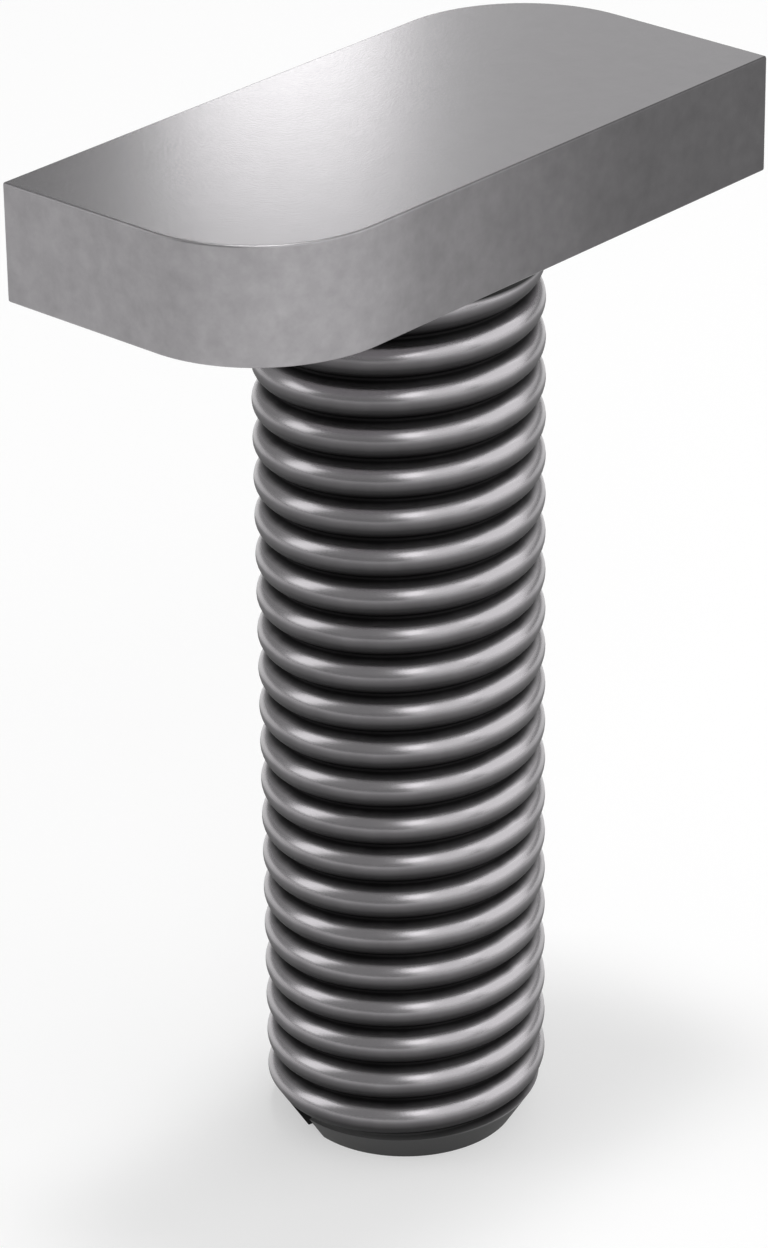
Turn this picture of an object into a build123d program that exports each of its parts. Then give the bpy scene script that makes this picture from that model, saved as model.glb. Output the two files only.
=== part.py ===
from build123d import *
import math
import os

# T-slot bolt, forged and rolled as one piece. Millimetres, +Z up.
# The origin is on the shank's axis, in the plane of the head's underside, which bears on the slot's lips.
# The head's long side runs along X, and the shank points down.

# Head: a flat hammer head that drops into the slot lengthwise and turns a quarter turn to lock
head_length = 30.0
head_side_margin = 1.0        # from the shank's side out to the head's long side
head_thickness = 5.0
lead_corner_radius = 6.0      # on the two corners that swing past the channel's walls

# Neck: the short plain length between the thread and the head
neck_plain_length = 0.5
neck_fillet = 0.4

# Thread: ISO metric coarse, right-hand, up to the neck
thread_size = 12.0
thread_pitch = 1.75
thread_allowance = 0.1        # what the rolled thread's diameters lack of the nominal ones
flank_half_angle = 30.0
crest_truncation = 1 / 8      # share of the sharp V that the crest lacks
root_truncation = 1 / 6       # share of the sharp V that the root lacks
turns_below_tip = 1.75        # how far down the groove starts, which sets where the thread opens
turns_past_top = 1.25         # how far up the groove ends, past the head's underside
groove_mouth_clearance = 0.1  # how far the groove's cutter stands out of the crests

# Shank and tip
shank_length = 40.5           # from the head's underside to the end face
tip_inset = 0.15              # from the thread's root in to the end face's rim
tip_chamfer_angle = 32.0      # between the lead-in cone and the axis
slot_width = 1.2
slot_depth = 1.5
slot_turn = -15.0             # degrees from the head's length, seen from above

# Sizes that follow
head_width = thread_size + 2 * head_side_margin
neck_radius = thread_size / 2
neck_length = neck_plain_length + neck_fillet
flank_slope = math.tan(math.radians(flank_half_angle))
sharp_depth = thread_pitch / (2 * flank_slope)
thread_depth = sharp_depth * (1 - crest_truncation - root_truncation)
crest_radius = (thread_size - thread_allowance) / 2
root_radius = crest_radius - thread_depth
tip_radius = root_radius - tip_inset
tip_z = -shank_length


def build_head():
    """Flat block, sharp at the corners that stop it and rounded at the ones that lead as it turns."""
    outline = Rectangle(head_length, head_width)
    lead_corners = [corner for corner in outline.vertices() if corner.X * corner.Y > 0]
    return extrude(fillet(lead_corners, lead_corner_radius), head_thickness)


def build_neck():
    """Plain round length that flares into the head's underside."""
    with BuildSketch(Plane.XZ) as half_section:
        with BuildLine():
            flare = CenterArc((neck_radius + neck_fillet, -neck_fillet), neck_fillet, 90, 90)
            Polyline(flare @ 1, (neck_radius, -neck_length), (0, -neck_length), (0, 0), flare @ 0)
        make_face()
    return revolve(half_section.sketch, Axis.Z)


def build_groove():
    """Cutter for the thread's helical groove. It runs past both ends of the rod that it cuts."""
    root_half = thread_pitch * root_truncation / 2
    mouth_radius = crest_radius + groove_mouth_clearance
    mouth_half = root_half + (mouth_radius - root_radius) * flank_slope
    start_z = tip_z - turns_below_tip * thread_pitch
    end_z = turns_past_top * thread_pitch
    path = Helix(thread_pitch, end_z - start_z, root_radius, center=(0, 0, start_z))
    with BuildSketch(Plane.XZ) as section:
        with BuildLine():
            Polyline(
                (root_radius, start_z - root_half),
                (mouth_radius, start_z - mouth_half),
                (mouth_radius, start_z + mouth_half),
                (root_radius, start_z + root_half),
                close=True,
            )
        make_face()
    return sweep(section.sketch, path=path, is_frenet=True)


def build_threaded_rod():
    """Rod over the crests, longer than the shank at both ends, with the groove cut into it."""
    overrun = (turns_below_tip + turns_past_top) * thread_pitch
    rod_length = shank_length + 2 * overrun
    rod_base = Align.CENTER, Align.CENTER, Align.MIN
    rod = Pos(0, 0, tip_z - overrun) * Cylinder(crest_radius, rod_length, align=rod_base)
    return rod - build_groove()


def build_blank():
    """The turned envelope that trims the threaded rod: the lead-in cone at the tip and the neck's end."""
    cone_height = (neck_radius - tip_radius) / math.tan(math.radians(tip_chamfer_angle))
    with BuildSketch(Plane.XZ) as half_section:
        with BuildLine():
            Polyline(
                (0, tip_z),
                (tip_radius, tip_z),
                (neck_radius, tip_z + cone_height),
                (neck_radius, -neck_length),
                (0, -neck_length),
                close=True,
            )
        make_face()
    return revolve(half_section.sketch, Axis.Z)


def build_tip_slot():
    """Marking slot across the end face, turned a little from the head's length."""
    across = Box(2 * neck_radius, slot_width, slot_depth, align=(Align.CENTER, Align.CENTER, Align.MIN))
    return Pos(0, 0, tip_z) * Rot(0, 0, slot_turn) * across


threaded_shank = build_threaded_rod() & build_blank()
bolt = threaded_shank + build_neck() + build_head() - build_tip_slot()
bolt.label = "t_slot_bolt"

os.makedirs("parts", exist_ok=True)
export_step(bolt, "parts/t_slot_bolt.step")
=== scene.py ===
import math

import bmesh
import bpy
from mathutils import Matrix, Vector


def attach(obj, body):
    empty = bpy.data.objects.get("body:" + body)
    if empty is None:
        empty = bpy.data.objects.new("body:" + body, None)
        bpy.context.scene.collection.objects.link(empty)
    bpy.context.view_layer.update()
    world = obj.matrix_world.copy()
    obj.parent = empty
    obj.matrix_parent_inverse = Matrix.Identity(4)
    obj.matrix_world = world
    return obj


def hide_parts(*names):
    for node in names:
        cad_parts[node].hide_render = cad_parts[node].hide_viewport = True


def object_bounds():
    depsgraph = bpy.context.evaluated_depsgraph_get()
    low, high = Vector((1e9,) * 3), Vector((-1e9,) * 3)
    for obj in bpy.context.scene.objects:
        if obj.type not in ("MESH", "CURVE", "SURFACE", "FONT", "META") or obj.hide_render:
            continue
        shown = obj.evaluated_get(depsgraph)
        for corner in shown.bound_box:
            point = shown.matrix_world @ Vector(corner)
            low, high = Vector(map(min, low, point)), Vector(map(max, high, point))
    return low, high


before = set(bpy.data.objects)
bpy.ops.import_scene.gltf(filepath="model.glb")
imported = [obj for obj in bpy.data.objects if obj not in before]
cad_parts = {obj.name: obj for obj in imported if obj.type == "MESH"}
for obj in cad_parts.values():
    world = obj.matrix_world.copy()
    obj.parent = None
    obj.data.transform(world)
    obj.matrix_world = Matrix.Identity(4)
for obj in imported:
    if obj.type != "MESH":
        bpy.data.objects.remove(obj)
cadLow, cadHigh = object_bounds()
mm = 0.001
zAxis = Vector((0, 0, 1))
centreLine = Vector((0, 0, 0))
weldDistance = 0.001 * mm       # points closer than this are one point
print("frame loaded")


# Mesh helpers

def newPiece(name, bm):
    mesh = bpy.data.meshes.new(name)
    bm.to_mesh(mesh)
    bm.free()
    piece = bpy.data.objects.new(name, mesh)
    bpy.context.scene.collection.objects.link(piece)
    return piece


def sharpEdges(bm, degrees):
    limit = math.radians(degrees)
    return [edge for edge in bm.edges if edge.is_manifold and edge.calc_face_angle() > limit]


def spinArc(bm, start, centre, degrees, steps):
    # swings one point about a centre in the XZ plane, and gives back the last point
    turned = bmesh.ops.spin(
        bm, geom=[start], cent=centre, axis=(0, -1, 0), angle=math.radians(degrees), steps=steps,
        use_duplicate=False,
    )
    return turned["geom_last"][0]


def turnProfile(bm, steps):
    # a full turn of the wire profile about the Z axis, closed at the seam and at both poles
    profile = bm.verts[:] + bm.edges[:]
    bmesh.ops.spin(
        bm, geom=profile, cent=centreLine, axis=zAxis, angle=math.tau, steps=steps, use_merge=True,
        use_duplicate=False,
    )
    bmesh.ops.remove_doubles(bm, verts=bm.verts, dist=weldDistance)
    bmesh.ops.recalc_face_normals(bm, faces=bm.faces)


def combine(piece, tool, operation):
    # works a tool shape into a piece and throws the tool away
    cut = piece.modifiers.new("combine", "BOOLEAN")
    cut.operation = operation
    cut.solver = "EXACT"
    cut.object = tool
    dg = bpy.context.evaluated_depsgraph_get()
    worked = bpy.data.meshes.new_from_object(piece.evaluated_get(dg))
    piece.modifiers.clear()
    piece.data = worked
    bpy.data.objects.remove(tool)


# Head: a flat hammer head with two rounded corners that lead as it turns in its slot

head = {
    "length": cadHigh.x - cadLow.x,
    "width": cadHigh.y - cadLow.y,
    "thickness": cadHigh.z,
    "leadCornerRadius": 6.0 * mm,
    "cornerSteps": 32,
    "edgeBreak": 0.10 * mm,
    "edgeBreakSteps": 3,
    "edgeBreakAngle": 40,       # edges that turn by more than this are broken
}


def makeHead():
    bm = bmesh.new()
    bmesh.ops.create_cube(bm, size=1)
    bmesh.ops.scale(bm, vec=(head["length"], head["width"], head["thickness"]), verts=bm.verts)
    bmesh.ops.translate(bm, vec=zAxis * head["thickness"] / 2, verts=bm.verts)
    leadCorners = []
    for edge in bm.edges:
        low, high = edge.verts
        isUpright = abs(low.co.z - high.co.z) > head["thickness"] / 2
        if isUpright and low.co.x * low.co.y > 0:
            leadCorners.append(edge)
    bmesh.ops.bevel(
        bm, geom=leadCorners, offset=head["leadCornerRadius"], offset_type="OFFSET",
        segments=head["cornerSteps"], profile=0.5, affect="EDGES", material=-1,
    )
    bmesh.ops.bevel(
        bm, geom=sharpEdges(bm, head["edgeBreakAngle"]), offset=head["edgeBreak"],
        offset_type="OFFSET", segments=head["edgeBreakSteps"], profile=0.5, affect="EDGES",
        material=-1,
    )
    return newPiece("head", bm)


# Neck: plain and round, with a flare into the head's underside

neck = {
    "radius": 6.0 * mm,
    "length": 0.9 * mm,
    "flare": 0.4 * mm,
    "flareSteps": 6,
    "sink": 0.5 * mm,           # how far it reaches up into the head
    "steps": 128,
}


def makeNeck():
    bm = bmesh.new()
    foot = bm.verts.new((0, 0, -neck["length"]))
    rim = bm.verts.new((neck["radius"], 0, -neck["length"]))
    flareStart = bm.verts.new((neck["radius"], 0, -neck["flare"]))
    bm.edges.new((foot, rim))
    bm.edges.new((rim, flareStart))
    flareCentre = (neck["radius"] + neck["flare"], 0, -neck["flare"])
    flareEnd = spinArc(bm, flareStart, flareCentre, -90, neck["flareSteps"])
    shoulder = bm.verts.new((neck["radius"] + neck["flare"], 0, neck["sink"]))
    middle = bm.verts.new((0, 0, neck["sink"]))
    bm.edges.new((flareEnd, shoulder))
    bm.edges.new((shoulder, middle))
    turnProfile(bm, neck["steps"])
    return newPiece("neck", bm)


# Thread: a rolled right-hand helix with full round crests and tight roots

thread = {
    "pitch": 1.75 * mm,
    "crestRadius": 5.995 * mm,
    "crestRound": 0.75 * mm,
    "rootRound": 0.10 * mm,
    "flankAngle": 30,           # half of the included angle
    "turnsBelowTip": 1.25,      # where the first ridge starts, which sets its place round the shank
    "stepsPerTurn": 96,
    "crestSteps": 12,
    "rootSteps": 3,             # in each half of a root
    "topShare": 0.5,            # of the neck's length, where the ridges end inside the neck
    "weldDistance": 0.002 * mm,
    "cutTolerance": 0.0001 * mm,
}


def threadDepth():
    # two arcs and the straight flank between them fill half a pitch
    slope = math.radians(90 - thread["flankAngle"])
    bothRounds = thread["crestRound"] + thread["rootRound"]
    flank = (thread["pitch"] / 2 - bothRounds * math.sin(slope)) / math.cos(slope)
    return bothRounds * (1 - math.cos(slope)) + flank * math.sin(slope)


thread["rootRadius"] = thread["crestRadius"] - threadDepth()


def threadSection(bm, middle):
    # one pitch of the section as a wire, from root to root, with its crest at the given height
    lean = 90 - thread["flankAngle"]
    flat = math.radians(lean)
    rootCentreX = thread["rootRadius"] + thread["rootRound"]
    crestCentre = (thread["crestRadius"] - thread["crestRound"], 0, middle)
    lowRoot = bm.verts.new((thread["rootRadius"], 0, middle - thread["pitch"] / 2))
    lowFlank = spinArc(bm, lowRoot, (rootCentreX, 0, lowRoot.co.z), -lean, thread["rootSteps"])
    crestStart = bm.verts.new((
        crestCentre[0] + thread["crestRound"] * math.cos(flat),
        0,
        middle - thread["crestRound"] * math.sin(flat),
    ))
    crestEnd = spinArc(bm, crestStart, crestCentre, 2 * lean, thread["crestSteps"])
    highRoot = bm.verts.new((thread["rootRadius"], 0, middle + thread["pitch"] / 2))
    highFlank = spinArc(bm, highRoot, (rootCentreX, 0, highRoot.co.z), lean, thread["rootSteps"])
    bm.edges.new((lowFlank, crestStart))
    bm.edges.new((crestEnd, highFlank))


def makeThread():
    bm = bmesh.new()
    tip, top = cadLow.z, -neck["length"] * thread["topShare"]
    firstCrest = tip - thread["turnsBelowTip"] * thread["pitch"]
    turns = math.ceil((top - firstCrest) / thread["pitch"] + 1)
    threadSection(bm, firstCrest)
    bmesh.ops.spin(
        bm, geom=bm.verts[:] + bm.edges[:], cent=centreLine, axis=zAxis, angle=math.tau,
        dvec=zAxis * thread["pitch"] / thread["stepsPerTurn"], steps=thread["stepsPerTurn"],
        use_duplicate=False,
    )
    oneTurn = bm.verts[:] + bm.edges[:] + bm.faces[:]
    for count in range(1, turns):
        copied = bmesh.ops.duplicate(bm, geom=oneTurn)["geom"]
        points = [part for part in copied if isinstance(part, bmesh.types.BMVert)]
        bmesh.ops.translate(bm, vec=zAxis * thread["pitch"] * count, verts=points)
    bmesh.ops.remove_doubles(bm, verts=bm.verts, dist=thread["weldDistance"])
    for height, side in ((tip, -zAxis), (top, zAxis)):
        cut = bmesh.ops.bisect_plane(
            bm, geom=bm.verts[:] + bm.edges[:] + bm.faces[:], plane_co=(0, 0, height),
            plane_no=side, dist=thread["cutTolerance"], clear_outer=True,
        )
        rim = [part for part in cut["geom_cut"] if isinstance(part, bmesh.types.BMEdge)]
        bmesh.ops.contextual_create(bm, geom=rim)
    bmesh.ops.recalc_face_normals(bm, faces=bm.faces)
    return newPiece("thread", bm)


# Blank: the turned shape that trims the thread to its lead-in cone

blank = {
    "radius": 6.1 * mm,
    "tipRadius": 4.73 * mm,
    "coneAngle": 32,            # between the cone and the axis
    "topShare": 0.6,            # of the neck's length, where the blank ends inside the neck
    "steps": 192,
}
coneSlope = math.tan(math.radians(blank["coneAngle"]))
blank["coneHeight"] = (blank["radius"] - blank["tipRadius"]) / coneSlope


def makeBlank():
    bm = bmesh.new()
    tip, top = cadLow.z, -neck["length"] * blank["topShare"]
    outline = [
        bm.verts.new((0, 0, tip)),
        bm.verts.new((blank["tipRadius"], 0, tip)),
        bm.verts.new((blank["radius"], 0, tip + blank["coneHeight"])),
        bm.verts.new((blank["radius"], 0, top)),
        bm.verts.new((0, 0, top)),
    ]
    for low, high in zip(outline, outline[1:]):
        bm.edges.new((low, high))
    turnProfile(bm, blank["steps"])
    return newPiece("blank", bm)


# Slot: a narrow marking slot across the end face, a little off the head's length

tipSlot = {"width": 1.2 * mm, "depth": 1.5 * mm, "turn": -15}


def makeTipSlot():
    # the cutter is centred on the end face, and stands past it and past both sides
    cutterSize = (4 * blank["radius"], tipSlot["width"], 2 * tipSlot["depth"])
    bm = bmesh.new()
    bmesh.ops.create_cube(bm, size=1)
    bmesh.ops.scale(bm, vec=cutterSize, verts=bm.verts)
    across = Matrix.Rotation(math.radians(tipSlot["turn"]), 4, "Z")
    bmesh.ops.transform(bm, matrix=Matrix.Translation((0, 0, cadLow.z)) @ across, verts=bm.verts)
    return newPiece("tipSlot", bm)


# Bolt: the thread on its blank, joined to the neck and the head, then slotted

crispAngle = 32                 # degrees: edges that turn by more than this stay crisp


def shadeByAngle(piece, degrees):
    # smooth over the rounds, crisp at the real edges, and true on the flats
    bm = bmesh.new()
    bm.from_mesh(piece.data)
    for face in bm.faces:
        face.smooth = True
    for edge in bm.edges:
        edge.smooth = True
    for edge in sharpEdges(bm, degrees):
        edge.smooth = False
    bm.to_mesh(piece.data)
    bm.free()
    flats = piece.modifiers.new("flats", "WEIGHTED_NORMAL")
    flats.keep_sharp = True


def makeBolt():
    bolt = makeThread()
    print("thread wound")
    combine(bolt, makeBlank(), "INTERSECT")
    combine(bolt, makeNeck(), "UNION")
    combine(bolt, makeHead(), "UNION")
    combine(bolt, makeTipSlot(), "DIFFERENCE")
    bolt.name = bolt.data.name = "bolt"
    shadeByAngle(bolt, crispAngle)
    return bolt


bolt = makeBolt()
print("bolt worked from its blank:", len(bolt.data.polygons), "faces")


# Materials

steel = {
    "headColour": (0.31, 0.301, 0.31, 1),
    "tint": 0.965,              # green against red and blue
    "tipShade": 0.060,          # painted shade of the lead-in cone
    "paintedShadowTone": 0.012,         # painted shadow on the neck and inside the slot
    "specular": 0.15,
    "headTopRoughness": 0.175,
    "headSideRoughness": 0.40,
    "grainRoughness": (-0.02, 0.02),
    "crestRoughness": 0.26,
    "rootFlankRoughness": 0.60,      # of the thread's roots and lower flanks, which carry painted shade
    "dullRoughness": 0.5,       # on the cone, the neck and the slot
    "bumpStrength": 0.15,
    "bumpDepth": 0.01 * mm,
    # painted shade by place in the pitch, dark in the roots and on the lower flanks and brightest
    # on the upper side of the crest: 0 and 1 at the roots, 0.5 on the crest, then the upper flank
    "paintedThreadShades": (
        (0.00, 0.012), (0.13, 0.015), (0.22, 0.025), (0.35, 0.052), (0.50, 0.16), (0.60, 0.29),
        (0.69, 0.42), (0.80, 0.42), (0.85, 0.22), (0.89, 0.075), (0.93, 0.022), (1.00, 0.012),
    ),
    # painted shade of the head's sides along its length, from one end to the other: lighter at the
    # rounded corner, darker towards the far end
    "paintedSideShades": (
        (0.00, 1.04), (0.02, 1.20), (0.07, 1.25), (0.18, 1.06), (0.29, 0.72), (0.40, 0.63),
        (0.51, 0.52), (0.62, 0.42), (0.74, 0.35), (1.00, 0.33),
    ),
}

# Noises, as scale per millimetre and detail, and the shades or shifts that they give
wear = {
    "mottle": (0.8, 3),
    "blotch": (1.7, 2),
    "grain": (7, 4),
    "middle": (0.25, 0.75),     # the part of a noise that is stretched over its shades
    "mottleShades": (0.94, 1.06),
    "blotchShades": (0.93, 1.07),
    "grainShades": (0.975, 1.025),
    "bothShades": (0.85, 1.15),
    "topShades": (0.965, 1.035),
    "raggedMiddle": (0.3, 0.7),
    "raggedShift": (-0.012, 0.012),     # in pitches, how far the painted shade's edge wanders
}

# Where one finish or painted shade gives way to the next, in millimetres unless the note says
# otherwise
fades = {
    "burnishedAt": 0.72,        # in pitches
    "burnished": (0.10, 0.20),  # in pitches, either side of that place
    "cone": (0.55, 0.90),       # below the cone's top
    "coneLength": (-5.0, 2.0),  # along X, over which the cone's painted shade darkens
    "coneShades": (1.40, 0.25),
    "slotSide": (0.06, 0.02),   # outside the slot's walls
    "slotRoof": 0.06,           # above the slot
    "slotDark": 1.0,            # above the end face, fully dark up to here
    "neck": 0.15,
    "shank": (-0.02, -0.08),    # below the head's underside
    "flat": (0.95, 0.995),      # how upright the face's normal is
}


def nodeMaker(tree):
    def make(kind, **settings):
        node = tree.nodes.new(kind)
        for name, value in settings.items():
            setattr(node, name, value)
        return node
    return make


def boltSteel():
    material = bpy.data.materials.new("boltSteel")
    material.use_nodes = True
    tree = material.node_tree
    make, link = nodeMaker(tree), tree.links.new
    shader = tree.nodes["Principled BSDF"]
    shader.inputs["Specular IOR Level"].default_value = steel["specular"]

    place = make("ShaderNodeTexCoord")
    inMillimetres = make("ShaderNodeMapping")
    inMillimetres.inputs["Scale"].default_value = (1 / mm, 1 / mm, 1 / mm)
    link(place.outputs["Object"], inMillimetres.inputs["Vector"])
    axes = make("ShaderNodeSeparateXYZ")
    link(inMillimetres.outputs["Vector"], axes.inputs["Vector"])
    x, y, z = axes.outputs["X"], axes.outputs["Y"], axes.outputs["Z"]
    facing = make("ShaderNodeSeparateXYZ")
    link(place.outputs["Normal"], facing.inputs["Vector"])

    def feed(socket, source):
        # the source is another node's socket or a plain value
        if isinstance(source, bpy.types.NodeSocket):
            link(source, socket)
        else:
            socket.default_value = source

    def number(operation, first, second=0):
        node = make("ShaderNodeMath", operation=operation)
        feed(node.inputs[0], first)
        feed(node.inputs[1], second)
        return node.outputs["Value"]

    def span(source, fromLow, fromHigh, toLow=0.0, toHigh=1.0, smooth=False):
        node = make("ShaderNodeMapRange")
        node.interpolation_type = "SMOOTHSTEP" if smooth else "LINEAR"
        settings = {"From Min": fromLow, "From Max": fromHigh, "To Min": toLow, "To Max": toHigh}
        for name, value in settings.items():
            node.inputs[name].default_value = value
        link(source, node.inputs["Value"])
        return node.outputs["Result"]

    def mix(factor, first, second, **settings):
        node = make("ShaderNodeMix", **settings)
        feed(node.inputs["Factor"], factor)
        feed(node.inputs["A"], first)
        feed(node.inputs["B"], second)
        return node.outputs["Result"]

    def noise(scale, detail):
        node = make("ShaderNodeTexNoise")
        node.inputs["Scale"].default_value = scale
        node.inputs["Detail"].default_value = detail
        link(inMillimetres.outputs["Vector"], node.inputs["Vector"])
        return node.outputs["Fac"]

    def ramp(source, shades, tint=1.0):
        node = make("ShaderNodeValToRGB")
        stops = node.color_ramp.elements
        while len(stops) < len(shades):
            stops.new(0.5)
        for stop, (position, shade) in zip(stops, shades):
            stop.position = position
            stop.color = (shade, shade * tint, shade, 1)
        link(source, node.inputs["Fac"])
        return node.outputs["Color"]

    mottle = noise(*wear["mottle"])
    blotch = noise(*wear["blotch"])
    grain = noise(*wear["grain"])

    # place in the pitch: the height less the helix's own climb round the axis
    pitch = thread["pitch"] / mm
    firstRoot = (cadLow.z - (thread["turnsBelowTip"] + 0.5) * thread["pitch"]) / mm
    turn = number("DIVIDE", number("ARCTAN2", y, x), math.tau)
    climb = number("DIVIDE", number("SUBTRACT", z, firstRoot), pitch)
    ragged = span(mottle, *wear["raggedMiddle"], *wear["raggedShift"])
    inPitch = number("FRACT", number("ADD", number("SUBTRACT", climb, turn), ragged))
    # painted shade round the pitch darkens the roots and lower flanks and leaves the upper side of
    # each crest brightest
    paintedThreadShade = ramp(inPitch, steel["paintedThreadShades"], steel["tint"])
    offBurnished = number("ABSOLUTE", number("SUBTRACT", inPitch, fades["burnishedAt"]))
    burnished = span(offBurnished, *fades["burnished"], 1, 0, smooth=True)

    # the lead-in cone is dull and carries a dark painted shade, darker round to one side
    tip = cadLow.z / mm
    coneTop = (cadLow.z + blank["coneHeight"]) / mm
    onCone = span(z, coneTop - fades["cone"][0], coneTop - fades["cone"][1])
    coneShades = span(x, *fades["coneLength"], *fades["coneShades"])
    coneShade = number("MULTIPLY", coneShades, steel["tipShade"])

    # painted shadow fills the slot and covers the neck under the head
    turned = math.radians(tipSlot["turn"])
    alongX = number("MULTIPLY", x, math.sin(turned))
    alongY = number("MULTIPLY", y, math.cos(turned))
    offSlot = number("ABSOLUTE", number("SUBTRACT", alongX, alongY))
    slotHalf = tipSlot["width"] / mm / 2
    slotRoof = (cadLow.z + tipSlot["depth"]) / mm
    betweenWalls = span(offSlot, *(slotHalf + gap for gap in fades["slotSide"]))
    underRoof = span(z, slotRoof + fades["slotRoof"], tip + fades["slotDark"])
    inSlot = number("MULTIPLY", betweenWalls, underRoof)
    neckFoot = -neck["length"] / mm
    onNeck = span(z, neckFoot, neckFoot + fades["neck"])
    paintedShadowMask = number("MAXIMUM", inSlot, onNeck)
    paintedShadowColour = [steel["paintedShadowTone"]] * 3 + [1]
    dull = number("MAXIMUM", paintedShadowMask, onCone)

    shankShade = mix(onCone, paintedThreadShade, coneShade, data_type="RGBA")
    shankShade = mix(paintedShadowMask, shankShade, paintedShadowColour, data_type="RGBA")
    shankGloss = mix(burnished, steel["rootFlankRoughness"], steel["crestRoughness"])
    shankGloss = mix(dull, shankGloss, steel["dullRoughness"])

    # the head: mottled forged faces, ground smoother on top, with painted shade on the sides that
    # darkens towards one end
    alongHead = span(x, cadLow.x / mm, cadHigh.x / mm)
    paintedSideShade = ramp(alongHead, steel["paintedSideShades"])
    onFlat = span(number("ABSOLUTE", facing.outputs["Z"]), *fades["flat"])
    mottleMarks = span(mottle, *wear["middle"], *wear["mottleShades"])
    blotchMarks = span(blotch, *wear["middle"], *wear["blotchShades"])
    marks = number("MULTIPLY", mottleMarks, blotchMarks)
    topMarks = span(marks, *wear["bothShades"], *wear["topShades"])
    # the sides get the painted shade under the random marks, the top only the marks
    marksAndPaintedShade = mix(onFlat, number("MULTIPLY", paintedSideShade, marks), topMarks)
    marksAndPaintedShade = number("MULTIPLY", marksAndPaintedShade, span(grain, *wear["middle"], *wear["grainShades"]))
    headShade = mix(1, steel["headColour"], marksAndPaintedShade, data_type="RGBA", blend_type="MULTIPLY")
    headGloss = mix(onFlat, steel["headSideRoughness"], steel["headTopRoughness"])
    headGloss = number("ADD", headGloss, span(grain, *wear["middle"], *steel["grainRoughness"]))

    # from the head to the shank; all of it is bare metal but the dull cone, neck and slot
    onShank = span(z, *fades["shank"])
    link(mix(onShank, headShade, shankShade, data_type="RGBA"), shader.inputs["Base Color"])
    link(mix(onShank, headGloss, shankGloss), shader.inputs["Roughness"])
    link(number("SUBTRACT", 1, number("MULTIPLY", dull, onShank)), shader.inputs["Metallic"])

    bump = make("ShaderNodeBump")
    bump.inputs["Strength"].default_value = steel["bumpStrength"]
    bump.inputs["Distance"].default_value = steel["bumpDepth"]
    link(grain, bump.inputs["Height"])
    link(bump.outputs["Normal"], shader.inputs["Normal"])
    return material


bolt.data.materials.clear()
bolt.data.materials.append(boltSteel())
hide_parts("t_slot_bolt")
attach(bolt, "root")
print("bolt finished")


# Floor, light and camera

floor = {
    "size": 3.0,
    "colour": (0.56, 0.56, 0.56, 1),
    "roughness": 0.7,
    "glow": 0.45,
    "glowColour": (1, 1, 1, 1),
}


def makeFloor():
    bm = bmesh.new()
    bmesh.ops.create_grid(bm, x_segments=1, y_segments=1, size=floor["size"] / 2)
    bmesh.ops.translate(bm, vec=(0, 0, cadLow.z), verts=bm.verts)
    piece = newPiece("floor", bm)
    material = bpy.data.materials.new("paleFloor")
    material.use_nodes = True
    tree = material.node_tree
    make, link = nodeMaker(tree), tree.links.new
    shader = tree.nodes["Principled BSDF"]
    shader.inputs["Base Color"].default_value = floor["colour"]
    shader.inputs["Roughness"].default_value = floor["roughness"]
    shader.inputs["Specular IOR Level"].default_value = 0
    shader.inputs["Emission Color"].default_value = floor["glowColour"]
    # the glow is seen directly and in reflections, and doesn't light the bolt's dull faces
    path = make("ShaderNodeLightPath")
    seen = path.outputs["Is Camera Ray"]
    for kind in ("Is Glossy Ray", "Is Transmission Ray"):
        either = make("ShaderNodeMath", operation="MAXIMUM")
        link(seen, either.inputs[0])
        link(path.outputs[kind], either.inputs[1])
        seen = either.outputs["Value"]
    glow = make("ShaderNodeMath", operation="MULTIPLY")
    glow.inputs[1].default_value = floor["glow"]
    link(seen, glow.inputs[0])
    link(glow.outputs["Value"], shader.inputs["Emission Strength"])
    piece.data.materials.append(material)


camera = {
    "azimuth": -48.09,
    "elevation": 26.30,
    "roll": -0.759,
    "distance": 215.9 * mm,
    "aimRight": -0.719 * mm,    # the aim point, sideways in the view from the shank's axis
    "aimHeight": -17.43 * mm,
    "lens": 149.7,
    "sensorWidth": 36,
    "clipStart": 0.01,
}


def viewAxes(azimuth, elevation):
    # the view's right, up and back directions: azimuth 0 looks along +Y
    turn, rise = math.radians(azimuth), math.radians(elevation)
    right = Vector((math.cos(turn), math.sin(turn), 0))
    level = math.cos(rise)
    back = Vector((math.sin(turn) * level, -math.cos(turn) * level, math.sin(rise)))
    return right, back.cross(right), back


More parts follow.
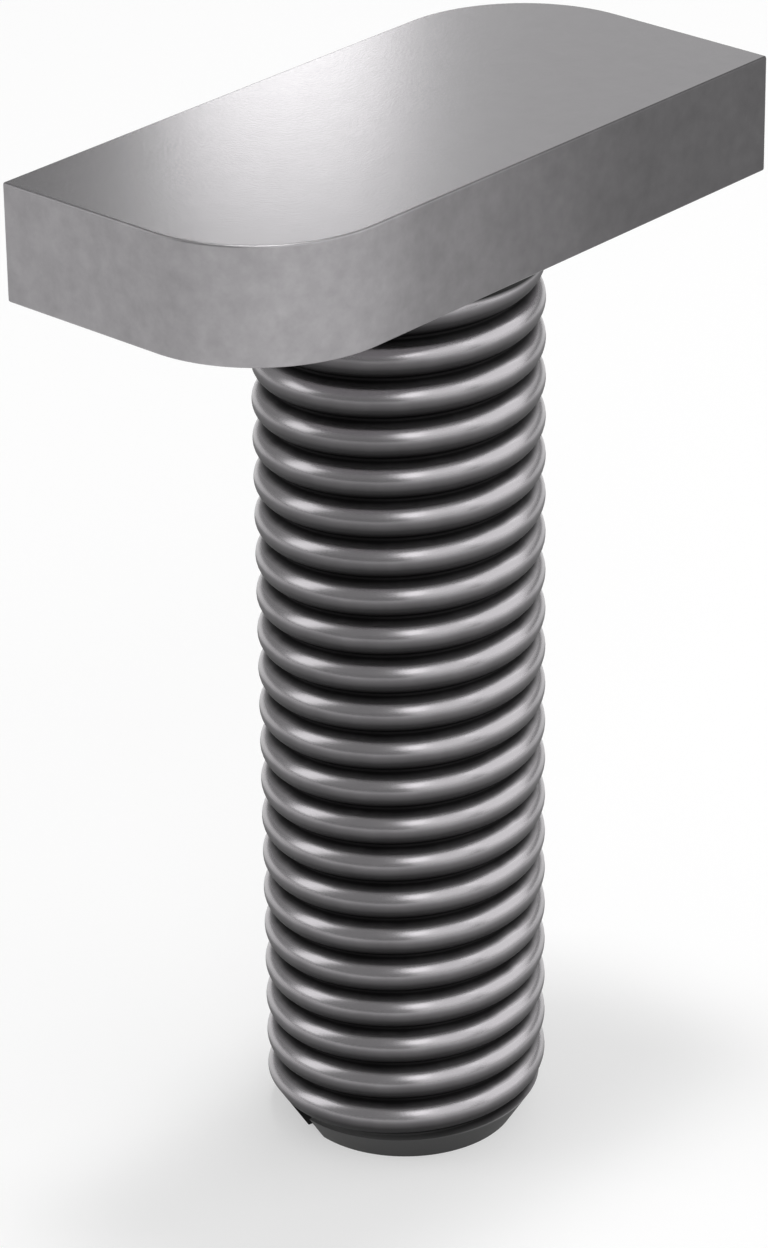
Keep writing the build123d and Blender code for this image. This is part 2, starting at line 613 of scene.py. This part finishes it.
def makeCamera():
    right, up, back = viewAxes(camera["azimuth"], camera["elevation"])
    aim = right * camera["aimRight"] + zAxis * camera["aimHeight"]
    data = bpy.data.cameras.new("camera")
    data.lens = camera["lens"]
    data.sensor_width = camera["sensorWidth"]
    data.clip_start = camera["clipStart"]
    viewer = bpy.data.objects.new("camera", data)
    bpy.context.scene.collection.objects.link(viewer)
    rolled = Matrix.Rotation(math.radians(camera["roll"]), 3, back)
    facing = Matrix((rolled @ right, rolled @ up, back)).transposed()
    viewer.matrix_world = Matrix.Translation(aim + back * camera["distance"]) @ facing.to_4x4()
    bpy.context.scene.camera = viewer


# Each lamp stands at an azimuth measured from the camera's, in degrees, and faces its aim point.
# Its brightness is that of its panel, where 1 is white.
lamps = {
    "overhead": {
        "azimuth": 180, "elevation": 86, "distance": 0.60, "size": (0.10, 0.10), "brightness": 42,
    },
    "frontRight": {
        "azimuth": 29, "elevation": 25, "distance": 0.50, "size": (0.48, 0.52), "brightness": 0.85,
    },
    "frontStrip": {
        "azimuth": 5, "elevation": 36, "distance": 0.50, "size": (0.16, 0.26), "brightness": 1.05,
    },
    "farRight": {
        "azimuth": 85, "elevation": 22, "distance": 0.50, "size": (0.48, 0.52), "brightness": 1.05,
    },
    "left": {
        "azimuth": -86, "elevation": 23, "distance": 0.50, "size": (0.24, 0.38), "brightness": 1.35,
    },
    "back": {
        "azimuth": 146.5, "elevation": 28, "distance": 0.50, "size": (0.69, 0.34),
        "brightness": 0.46,
    },
    "backStrip": {
        "azimuth": 181.8, "elevation": 18.5, "distance": 0.40, "size": (0.025, 0.05),
        "brightness": 3.0,
    },
}


def makeLamp(name, spec):
    width, height = spec["size"]
    data = bpy.data.lights.new(name, "AREA")
    data.shape = "RECTANGLE"
    data.size, data.size_y = width, height
    data.energy = math.pi * width * height * spec["brightness"]
    lamp = bpy.data.objects.new(name, data)
    lamp.visible_camera = False
    bpy.context.scene.collection.objects.link(lamp)
    right, up, back = viewAxes(camera["azimuth"] + spec["azimuth"], spec["elevation"])
    facing = Matrix((right, up, back)).transposed()
    lamp.matrix_world = Matrix.Translation(back * spec["distance"]) @ facing.to_4x4()


surroundings = {"colour": (0.34, 0.34, 0.34, 1)}


def makeWorld():
    world = bpy.data.worlds.new("studio")
    world.use_nodes = True
    background = world.node_tree.nodes["Background"]
    background.inputs["Color"].default_value = surroundings["colour"]
    bpy.context.scene.world = world


makeFloor()
makeCamera()
for name, spec in lamps.items():
    makeLamp(name, spec)
makeWorld()
bpy.context.scene.view_settings.view_transform = "Standard"
print("stage set")
